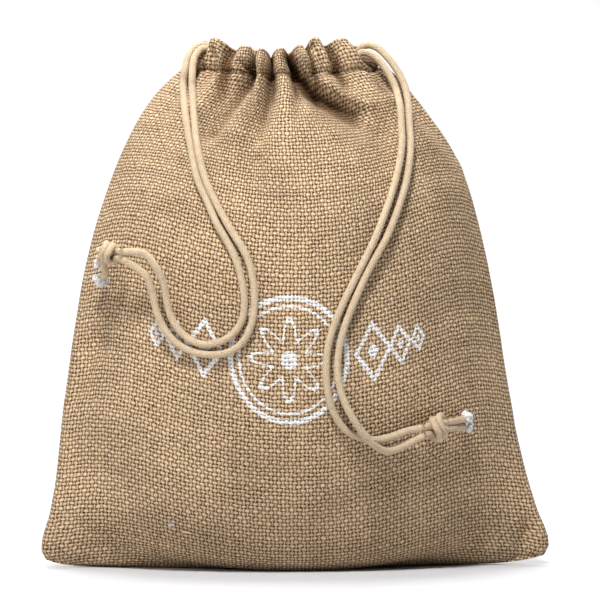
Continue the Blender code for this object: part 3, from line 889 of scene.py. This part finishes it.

# %% [markdown]
# ## The cords
#
# Each cord is a soft braided cotton one, 3.4 mm thick, that comes out of the hem at a side seam with both
# its ends and hangs down the front. Its places are chosen from the photo. Those on the cloth are
# given as the eye sees them: a ray from the eye finds the cloth, and the cord lies on it by its own
# radius. A cord is stiffer than cloth, so it bridges the furrows. A ring pulled along the curve makes the
# tube, with a UV that follows it for the braid.

# %% Routes of the cords
CORD = 3.4 * MM
CORD_GAP = 0.20 * MM
LEFT_OUTER_FREE = (
    (-36.5, -2.4, 244.5), (-40.5, -3.2, 248.4), (-46.4, -5.0, 249.4), (-50.3, -8.5, 246.8),
    (-52.7, -12.0, 242.5), (-54.0, -16.0, 236.6),
)
LEFT_OUTER_LAID = (
    (-53.0, 228.5, 1.0), (-52.0, 214.1, 0.5), (-49.8, 199.7, 0), (-46.8, 185.3, 0), (-42.2, 174.7, 0),
    (-37.9, 164.6, 0), (-33.6, 157.0, 0), (-30.2, 150.7, 0), (-27.4, 143.5, 0), (-25.4, 134.9, 0),
    (-24.5, 126.7, 0), (-25.4, 119.0, 0), (-28.8, 112.8, 0), (-34.6, 108.4, 0), (-42.5, 106.6, 0),
    (-49.2, 108.5, 0), (-55.0, 113.3, 0.3), (-58.8, 120.0, 1.0), (-60.2, 128.2, 2.5), (-60.2, 135.4, 5.0),
    (-61.8, 143.0, 8.5), (-65.4, 148.4, 11.0),
)
LEFT_INNER_FREE = (
    (-36.5, -7.0, 242.5), (-40.6, -8.6, 246.8), (-45.6, -11.0, 247.6), (-48.9, -14.0, 244.2),
    (-50.3, -17.5, 239.6), (-50.8, -21.0, 233.4),
)
LEFT_INNER_LAID = (
    (-48.7, 227.0, 0.8), (-48.5, 214.1, 0.4), (-46.5, 199.7, 0), (-43.2, 185.3, 0), (-38.6, 175.0, 0),
    (-33.1, 164.6, 0), (-28.8, 157.4, 0), (-24.2, 149.8, 0), (-21.6, 142.6, 0), (-20.2, 134.4, 0),
    (-19.8, 125.8, 0), (-20.8, 117.4, 0), (-23.8, 109.8, 0), (-28.6, 104.6, 0), (-35.2, 102.0, 0),
    (-43.9, 102.0, 0), (-51.6, 104.4, 0), (-58.2, 109.2, 0.3), (-62.9, 115.8, 1.0), (-65.2, 123.4, 2.0),
    (-65.6, 132.4, 4.5), (-67.0, 139.8, 8.0),
)
RIGHT_OUTER_FREE = (
    (25.5, -3.6, 243.0), (28.6, -3.8, 247.0), (31.6, -4.0, 249.2), (35.0, -5.0, 249.8), (39.4, -7.0, 247.8),
    (44.4, -10.5, 242.2), (48.7, -14.0, 235.2), (51.0, -17.5, 228.5),
)
RIGHT_OUTER_LAID = (
    (52.2, 219.0, 1.0), (53.4, 210.0, 1.0), (53.8, 199.7, 0.8), (52.0, 185.3, 0.8), (47.5, 170.9, 1.0),
    (42.0, 157.4, 1.0), (36.5, 146.9, 1.0), (31.9, 137.8, 1.0), (27.4, 127.7, 1.0), (23.8, 118.1, 0.8),
    (21.1, 109.4, 0.6), (19.6, 100.8, 0.6), (19.2, 92.2, 1.0), (20.6, 83.3, 2.2), (23.2, 75.8, 3.8),
    (27.2, 68.6, 5.0), (33.0, 61.2, 4.8), (38.8, 57.0, 2.0), (43.6, 55.8, 1.2), (49.6, 58.2, 1.8),
)
RIGHT_INNER_FREE = (
    (25.8, -8.0, 241.4), (28.8, -8.6, 244.8), (32.0, -9.2, 246.2), (35.8, -10.4, 244.8), (39.8, -12.8, 240.8),
    (43.8, -16.0, 234.6), (46.4, -19.0, 228.2),
)
RIGHT_INNER_LAID = (
    (48.4, 219.5, 1.0), (49.6, 211.0, 0.8), (49.7, 199.7, 0.5), (46.9, 185.3, 0.5), (42.2, 170.9, 0.5),
    (37.0, 157.4, 0.5), (32.0, 146.9, 0.5), (27.1, 136.8, 0.5), (22.8, 127.7, 0.5), (18.7, 118.1, 0.3),
    (15.7, 108.5, 0), (14.3, 98.9, 0), (14.2, 89.3, 0), (15.6, 79.7, 0), (18.5, 71.8, 0), (23.5, 65.3, 0),
    (30.2, 61.8, 0), (38.0, 60.9, 0), (46.4, 63.1, 0.8), (51.4, 65.4, 1.8),
)
LEFT_KNOT = ((-72.4, 147.4, 12.0), (-83.6, 148.6, 11.0))
RIGHT_KNOT = ((58.0, 65.4, 2.4), (69.2, 67.8, 2.2))
KNOT_RADIUS = 3.6 * MM
CORDS_APART = 1.75 * MM
BRIDGE_ROUNDS = 3
CURVE_STEPS = 24


# %% Laying a cord
def lay_place(place, radius):
    """Where a cord lies for a place that the eye sees on the cloth."""
    x, z, lift = (value * MM for value in place)
    ray = (Vector((x, 0.0, z)) - EYE).normalized()
    hit, normal, _, _ = surface.ray_cast(EYE, ray)
    if normal.dot(ray) > 0:
        normal = -normal
    return hit + normal * (radius + CORD_GAP + lift)


def bridge(points):
    """Spans the furrows and eases over the ridges."""
    for _ in range(BRIDGE_ROUNDS):
        smooth = [points[0]]
        for before, here, after in zip(points, points[1:], points[2:]):
            middle = (before + after) / 2
            smooth.append(Vector((here.x, min(here.y, here.y * 0.5 + middle.y * 0.5), here.z)))
        smooth.append(points[-1])
        points = smooth
    return points


def along_curve(points, spacing):
    """Places a step apart along a smooth curve through the route's own points."""
    fine = []
    padded = [2 * points[0] - points[1], *points, 2 * points[-1] - points[-2]]
    for a, b, c, d in zip(padded, padded[1:], padded[2:], padded[3:]):
        for step in range(CURVE_STEPS):
            u = step / CURVE_STEPS
            curved = (2 * a - 5 * b + 4 * c - d) * u * u + (3 * b - a - 3 * c + d) * u**3
            fine.append(0.5 * (2 * b + (c - a) * u + curved))
    fine.append(points[-1])
    lengths = [0.0]
    for a, b in zip(fine, fine[1:]):
        lengths.append(lengths[-1] + (b - a).length)
    count = max(2, round(lengths[-1] / spacing))
    found, i = [], 0
    for step in range(count + 1):
        wanted = lengths[-1] * step / count
        while i < len(fine) - 2 and lengths[i + 1] < wanted:
            i += 1
        share = (wanted - lengths[i]) / max(lengths[i + 1] - lengths[i], 1e-9)
        found.append(fine[i].lerp(fine[i + 1], min(share, 1.0)))
    return found


def length_of(places):
    """The length of a line through places."""
    return sum((b - a).length for a, b in zip(places, places[1:]))


# %% Pulling a ring along a path
TUBE_SIDES = 18
STRAND_SHIFT = 0.31


def pull_tube(tube, places, radius_at, layer, start=0.0):
    """Adds a closed tube along places to a bmesh; radius_at gives its radius at a share of its length."""
    total = length_of(places)
    ahead = (places[1] - places[0]).normalized()
    side = ahead.orthogonal().normalized()
    ring = bmesh.ops.create_circle(tube, cap_ends=False, radius=1.0, segments=TUBE_SIDES)["verts"]
    edges = list({edge for vertex in ring for edge in vertex.link_edges})
    spots = {vertex: (n, 0.0) for n, vertex in enumerate(ring)}
    gone = 0.0

    def put(verts, centre, ahead, radius):
        up = ahead.cross(side)
        for vertex in verts:
            turn = tau * spots[vertex][0] / TUBE_SIDES
            vertex.co = centre + (side * cos(turn) + up * sin(turn)) * radius

    put(ring, places[0], ahead, radius_at(0.0))
    bmesh.ops.contextual_create(tube, geom=edges)
    for i in range(1, len(places)):
        beyond = places[min(i + 1, len(places) - 1)]
        turned = (beyond - places[i - 1]).normalized()
        side = (side - turned * side.dot(turned)).normalized()
        gone += (places[i] - places[i - 1]).length
        grown = bmesh.ops.extrude_edge_only(tube, edges=edges)["geom"]
        fresh = [item for item in grown if isinstance(item, bmesh.types.BMVert)]
        edges = [item for item in grown if isinstance(item, bmesh.types.BMEdge)]
        ends = {vertex: next(edge.other_vert(vertex) for edge in vertex.link_edges
                             if edge.other_vert(vertex) in spots) for vertex in fresh}
        spots.update({vertex: (spots[end][0], gone) for vertex, end in ends.items()})
        put(fresh, places[i], turned, radius_at(gone / total))
        for face in (item for item in grown if isinstance(item, bmesh.types.BMFace)):
            face.smooth = True
            closing = {spots[vertex][0] for vertex in face.verts} == {0, TUBE_SIDES - 1}
            for loop in face.loops:
                around, along = spots[loop.vert]
                around = TUBE_SIDES if closing and around == 0 else around
                loop[layer].uv = (around / TUBE_SIDES, start + along)
    bmesh.ops.contextual_create(tube, geom=edges)


def tube_mesh(name, paths, radius_at):
    """A mesh of one or more closed tubes with a UV along each."""
    tube = bmesh.new()
    layer = tube.loops.layers.uv.new("cord")
    for n, places in enumerate(paths):
        pull_tube(tube, places, radius_at, layer, STRAND_SHIFT * n)
    bmesh.ops.recalc_face_normals(tube, faces=tube.faces)
    return mesh_of(name, tube)


# %% [markdown]
# ## Cotton cord
#
# The cord is a fine round braid of unbleached cotton: two sets of yarns wind round it in opposite ways and
# cross in small diamonds. From a step away it looks almost smooth, with a soft bloom of fibre ends, so the
# relief is low, the sheen is soft, and small hairs are added as real geometry afterwards.

# %% Cotton material
COTTON_LIGHT = (0.610, 0.478, 0.325)
COTTON_SHADE = (0.410, 0.300, 0.185)
FRAYED_LIGHT = (0.74, 0.74, 0.75)
FRAYED_SHADE = (0.62, 0.60, 0.58)
BRAID_ROUND = 8.0
BRAID_LENGTH = 2.4 * MM
BRAID_RELIEF = 0.13 * MM


def make_cotton(name, light, shade):
    """Braided cotton on the cord's own UVs, with fluff on top."""
    made, shader = finish_of(name, light, 0.9)
    tree = made.node_tree
    _, around, along = uv_of(tree, "cord")
    spot = Wire(tree, tree.nodes.new("ShaderNodeTexCoord").outputs["Object"])
    turn, run = around * (tau * BRAID_ROUND), along * (tau / BRAID_LENGTH)
    braid = (turn + run).math("SINE").math("MAXIMUM", (turn - run).math("SINE"))
    fluff = grain(spot, 1500.0, 3.0, 0.65)
    # The tone is the cotton's own mottling, with a little painted shade in the grooves between the braid's
    # yarns.
    tone = braid * 0.10 + fluff * 0.8 + grain(spot, 320.0, 2.0) * 0.35
    plug(tree, [shader.inputs["Base Color"]], [blend(between(tone, 0.28, 0.80), shade, light)])
    add_bump(shader, braid + fluff * 1.6, BRAID_RELIEF)
    shader.inputs["Sheen Weight"].default_value = 0.10
    shader.inputs["Specular IOR Level"].default_value = 0.2
    return made


cotton = make_cotton("cotton braid", COTTON_LIGHT, COTTON_SHADE)
frayed = make_cotton("frayed cotton", FRAYED_LIGHT, FRAYED_SHADE)


# %% [markdown]
# ## The knots
#
# Each pair of ends is tied together in one overhand knot. It is drawn as it is tied: both strands go in
# side by side, turn back over themselves in a small loop, wrap round the front and the back, and come out
# through the loop. The path is a short table in millimetres along, up and out of the knot, with the
# direction in which the two strands lie beside each other.

# %% Knot path
KNOT_PATH = (
    # along, up, out, and the side that the second strand lies on
    (-7.2, 0.0, -0.6, 0.0, 1.0, 0.0),
    (-4.4, -0.1, -1.0, 0.0, 1.0, 0.0),
    (-1.2, -0.6, -1.6, 0.1, 1.0, 0.1),
    (2.4, -0.4, -1.8, 0.4, 0.9, 0.1),
    (5.4, 1.6, -1.2, 1.0, 0.4, 0.0),
    (4.2, 4.6, -0.2, 0.8, 0.6, 0.0),
    (0.4, 4.9, 1.6, 1.0, 0.2, 0.3),
    (-0.6, 1.6, 3.4, 1.0, 0.3, 0.0),
    (1.0, -2.2, 3.2, 1.0, 0.35, 0.0),
    (2.2, -4.9, 0.4, 1.0, 0.2, 0.0),
    (0.4, -3.4, -3.0, 1.0, 0.0, 0.0),
    (-1.6, 0.4, -3.9, 1.0, 0.0, 0.0),
    (-0.6, 3.2, -2.4, 0.7, 0.7, 0.0),
    (2.6, 2.4, 0.2, 0.2, 1.0, 0.0),
    (5.4, 0.6, 0.8, 0.0, 1.0, 0.0),
    (7.4, 0.0, 0.4, 0.0, 1.0, 0.0),
)
KNOT_CORD = 3.1 * MM
KNOT_STEP = 0.8 * MM


def knot_frame(knot):
    """A knot's two ends and its directions along, up and out."""
    start, end = (lay_place(place, KNOT_RADIUS) for place in knot)
    along = (end - start).normalized()
    up = along.cross(Vector((0, -1, 0))).normalized()
    up = up if up.z > 0 else -up
    out = along.cross(up)
    out = out if out.y < 0 else -out
    return start, end, along, up, out


def make_knot(name, knot, tall, long):
    """Both strands of one overhand knot, as two tubes in one mesh."""
    start, end, along, up, out = knot
    middle = (start + end) / 2
    strands = []
    for side in (-1, 1):
        route = []
        for a, b, c, sa, sb, sc in KNOT_PATH:
            beside = Vector((sa, sb, sc)).normalized() * side * KNOT_CORD / 2
            place = Vector((a * long, b * tall, c)) * MM + beside
            route.append(middle + along * place.x + up * place.y + out * place.z)
        strands.append(along_curve(route, KNOT_STEP))
    return new_object(name, tube_mesh(name, strands, lambda share: KNOT_CORD / 2), cotton)


knots = {"left": knot_frame(LEFT_KNOT), "right": knot_frame(RIGHT_KNOT)}
KNOT_SIZES = {"left": (0.74, 0.86), "right": (0.95, 0.86)}
for side, (tall, long) in KNOT_SIZES.items():
    piece = make_knot(f"knot_{side}_tied", knots[side], tall, long)
    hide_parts(f"knot_{side}")
    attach(piece, "root")

# %% [markdown]
# ## Frayed ends
#
# Past each knot the two strands end after a few millimetres. A cut cotton cord opens, and the fibres of its
# core are whiter than its braid. Each end is a short tube that widens, with a lumpy white ball at its tip
# and fine fibres bursting out of that. The fibres are thin curves turned into one mesh.

# %% Fibres
def fibre_object(name, fibres, radius, finish, taper=0.65):
    """Many fine fibres as one mesh: each is a list of places, thick at the root and fine at the tip."""
    data = bpy.data.curves.new(name, "CURVE")
    data.dimensions = "3D"
    data.bevel_depth = radius
    data.bevel_resolution = 0
    data.use_fill_caps = False
    for places in fibres:
        spline = data.splines.new("POLY")
        spline.points.add(len(places) - 1)
        for n, place in enumerate(places):
            spline.points[n].co = (*place, 1.0)
            spline.points[n].radius = 1.0 - taper * n / (len(places) - 1)
    holder = bpy.data.objects.new(name, data)
    bpy.context.scene.collection.objects.link(holder)
    bpy.context.view_layer.update()
    mesh = bpy.data.meshes.new_from_object(holder.evaluated_get(bpy.context.evaluated_depsgraph_get()))
    bpy.data.objects.remove(holder, do_unlink=True)
    mesh.name = name
    mesh.shade_smooth()
    mesh.materials.clear()
    return new_object(name, mesh, finish)


def random_way(rng):
    """A random direction."""
    return Vector((rng.gauss(0, 1), rng.gauss(0, 1), rng.gauss(0, 1))).normalized()


def curl(rng, root, way, length, steps, bend):
    """A fibre's places from its root, turning a little at each step."""
    places, here = [root], root
    drift = random_way(rng)
    for _ in range(steps):
        way = (way + drift * bend + random_way(rng) * bend * 0.6).normalized()
        here = here + way * (length / steps)
        places.append(here)
    return places


# %% Tails
TAIL = 3.2 * MM
TAILS = {
    # name: side, level, places laid after the knot, tuft size
    "tail_left_a": ("left", 1, ((-85.4, 146.6, 9.5), (-86.6, 145.0, 8.0)), 1.0),
    "tail_left_b": ("left", -1, ((-85.0, 141.4, 6.5), (-88.6, 137.6, 4.0)), 1.25),
    "tail_right_a": ("right", 1, ((74.6, 69.8, 2.0), (79.0, 71.0, 1.8)), 1.25),
    "tail_right_b": ("right", -1, ((75.6, 66.6, 1.4), (80.2, 67.0, 1.0)), 1.0),
}
TAIL_LIFT, TAIL_APART, TAIL_STEP = 0.3 * MM, 1.5 * MM, 1.0 * MM
TUFT_FIBRES, TUFT_FIBRE_RADIUS, TUFT_FIBRE_STEPS = 170, 0.13 * MM, 5
TUFT_LENGTHS = (0.8, 2.2)
TUFT_CORE, TUFT_LUMPS, TUFT_LUMP_SIZE = 2.3 * MM, 2.0 * MM, 1.3 * MM
TUFT_FLAT = 0.2


def tuft_core(name, middle, way, size):
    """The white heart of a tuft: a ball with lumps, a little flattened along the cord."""
    ball = bmesh.new()
    bmesh.ops.create_icosphere(ball, subdivisions=4, radius=TUFT_CORE * size)
    for vertex in ball.verts:
        lump = noise.noise(vertex.co / TUFT_LUMP_SIZE + middle / MM) * TUFT_LUMPS
        vertex.co += vertex.co.normalized() * lump
        vertex.co -= way * vertex.co.dot(way) * TUFT_FLAT
    bmesh.ops.translate(ball, verts=ball.verts, vec=middle)
    mesh = mesh_of(name, ball)
    mesh.shade_smooth()
    return new_object(name, mesh, frayed)


def tail_radius(share):
    """A tail's radius along it: it widens a little towards its cut end."""
    return TAIL / 2 * (1 + 0.18 * share**4)


rng = random.Random(7)
tail_pieces = {"left": [], "right": []}
for name, (side, level, laid, size) in TAILS.items():
    _, end, along, up, out = knots[side]
    leaving = end + along * TAIL_LIFT + up * level * TAIL_APART
    route = along_curve([leaving, *(lay_place(place, TAIL / 2) for place in laid)], TAIL_STEP)
    stub = new_object(f"{name}_cord", tube_mesh(name, [route], tail_radius), cotton)
    tip, way = route[-1], (route[-1] - route[-3]).normalized()
    fibres = []
    for _ in range(TUFT_FIBRES):
        spread = random_way(rng)
        root = tip + spread * TUFT_CORE * size * 0.7 + way * 0.6 * MM
        outward = (way * 0.5 + spread * rng.uniform(0.5, 1.0)).normalized()
        length = rng.uniform(*TUFT_LENGTHS) * MM * size
        fibres.append(curl(rng, root, outward, length, TUFT_FIBRE_STEPS, 0.55))
    tuft = fibre_object(f"{name}_tuft", fibres, TUFT_FIBRE_RADIUS, frayed)
    core = tuft_core(f"{name}_core", tip + way * 1.0 * MM + out * 0.5 * MM, way, size)
    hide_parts(name)
    for piece in (stub, tuft, core):
        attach(piece, "root")
        tail_pieces[side].append(piece)

# %% Pull the cords
RUNS = {
    "cord_left_outer": (LEFT_OUTER_FREE, LEFT_OUTER_LAID, "left", 1),
    "cord_left_inner": (LEFT_INNER_FREE, LEFT_INNER_LAID, "left", -1),
    "cord_right_outer": (RIGHT_OUTER_FREE, RIGHT_OUTER_LAID, "right", -1),
    "cord_right_inner": (RIGHT_INNER_FREE, RIGHT_INNER_LAID, "right", 1),
}
CORD_STEP = 1.3 * MM
cord_paths = []
for name, (free, laid, side, level) in RUNS.items():
    start, _, _, up, _ = knots[side]
    entry = start + up * level * CORDS_APART
    route = [Vector(place) * MM for place in free]
    route += bridge([lay_place(place, CORD / 2) for place in laid])
    path = along_curve([*route, entry], CORD_STEP)
    piece = new_object(f"{name}_braid", tube_mesh(name, [path], lambda share: CORD / 2), cotton)
    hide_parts(name)
    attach(piece, "root")
    length_of(path)
    cord_paths.append(path)
    print(f"{name}: {length_of(path) / MM:.0f} mm")

# %% [markdown]
# ## Stitches and loose fibres
#
# The hem is held by one row of stitches in jute-coloured thread: short pieces along the hem's line, each a
# little above the cloth. Jute yarn is hairy, so fine fibres stand off the cloth everywhere. They could be
# painted on, but at the bag's outline only real ones are seen. They are strewn over the whole cloth from
# one fixed seed. One pale fleck and one thick place in a thread, low on the left, are given one by one.

# %% Hem stitches
STITCH_STEP = 0.7 * MM
STITCH_LONG, STITCH_EVERY = 5, 6
STITCH_RADIUS = 0.24 * MM
STITCH_UP = 0.20 * MM
STITCH_ARCH = (-0.4, 0.8, 1.0, 0.8, -0.4)


def on_cloth(place, above):
    """The nearest place on the cloth, a little above it, and the way out of the cloth there."""
    hit, normal, _, _ = surface.find_nearest(place)
    return hit + normal * above, normal


sewing, _ = finish_of("sewing thread", (0.56, 0.42, 0.27), 0.8)
line = along_curve(hem_places, STITCH_STEP)
stitches = []
for first in range(0, len(line) - STITCH_LONG, STITCH_EVERY):
    stretch = zip(line[first:first + STITCH_LONG], STITCH_ARCH)
    stitches.append([on_cloth(place, STITCH_UP * up)[0] for place, up in stretch])
stitch_row = fibre_object("hem_stitches", stitches, STITCH_RADIUS, sewing, taper=0.0)
print("stitches:", len(stitches))

# %% Loose fibres
LOOSE_FIBRES = 1700
LOOSE_RADIUS = 0.045 * MM
LOOSE_LENGTHS = (1.2, 4.2)
FLECK = (-60.0, 20.2, 0.0)
FLECK_FIBRES, FLECK_SIZE, FLECK_LENGTH, FLECK_RADIUS = 26, 0.7 * MM, 1.8 * MM, 0.12 * MM
SLUB = (-51.8, 16.3, 0.0)
SLUB_FIBRES, SLUB_SIZE, SLUB_SLOPE, SLUB_RADIUS = 14, 0.35 * MM, 0.12, 0.22 * MM
loose_jute, _ = finish_of("loose jute", (0.60, 0.44, 0.28), 0.8)
strew = random.Random(23)
loose = []
for _ in range(LOOSE_FIBRES):
    around, height = strew.random(), strew.uniform(3, 296)
    spot = cloth_place(around, read_rows(MIDDLE, height), read_rows(SIDES, height))
    root, out = on_cloth(spot, 0.1 * MM)
    way = random_way(strew)
    way = (way - out * way.dot(out) + out * strew.uniform(0.05, 0.75)).normalized()
    hair = curl(strew, root, way, strew.uniform(*LOOSE_LENGTHS) * MM, 4, 0.28)
    loose.append([Vector((place.x, place.y, max(place.z, 2 * LOOSE_RADIUS))) for place in hair])
hairs = fibre_object("loose_fibres", loose, LOOSE_RADIUS, loose_jute)

fleck_root, slub_root = lay_place(FLECK, 0.0), lay_place(SLUB, 0.0)
fleck_fibres = [
    curl(strew, fleck_root + random_way(strew) * FLECK_SIZE, random_way(strew), FLECK_LENGTH, 4, 0.5)
    for _ in range(FLECK_FIBRES)
]
fleck = fibre_object("pale_fleck", fleck_fibres, FLECK_RADIUS, frayed)
slub_way = Vector((1.0, 0.0, -SLUB_SLOPE)) * MM
slub_path = [slub_root + slub_way * along for along in (-2.4, -1.2, 0.0, 1.2, 2.4)]
slub_fibres = [[place + random_way(strew) * SLUB_SIZE for place in slub_path] for _ in range(SLUB_FIBRES)]
slub = fibre_object("thick_place", slub_fibres, SLUB_RADIUS, loose_jute, taper=0.3)
for piece in (stitch_row, hairs, fleck, slub):
    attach(piece, "root")

# %% Cord fuzz
FUZZ_PER_CORD = 330
FUZZ_RADIUS = 0.035 * MM
FUZZ_LENGTHS = (0.6, 1.5)
fuzz = []
for path in cord_paths:
    for _ in range(FUZZ_PER_CORD):
        n = strew.randrange(1, len(path) - 1)
        ahead = (path[n + 1] - path[n - 1]).normalized()
        out = random_way(strew)
        out = (out - ahead * out.dot(ahead)).normalized()
        way = (out * strew.uniform(0.3, 1.0) + ahead * strew.uniform(-1.0, 1.0)).normalized()
        fuzz.append(curl(strew, path[n] + out * CORD * 0.48, way, strew.uniform(*FUZZ_LENGTHS) * MM, 3, 0.35))
bloom = fibre_object("cord_fuzz", fuzz, FUZZ_RADIUS, cotton)
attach(bloom, "root")

# %% [markdown]
# ## Finish
#
# Last, the scene is brought up to date.

# %% Finish
bpy.context.view_layer.update()
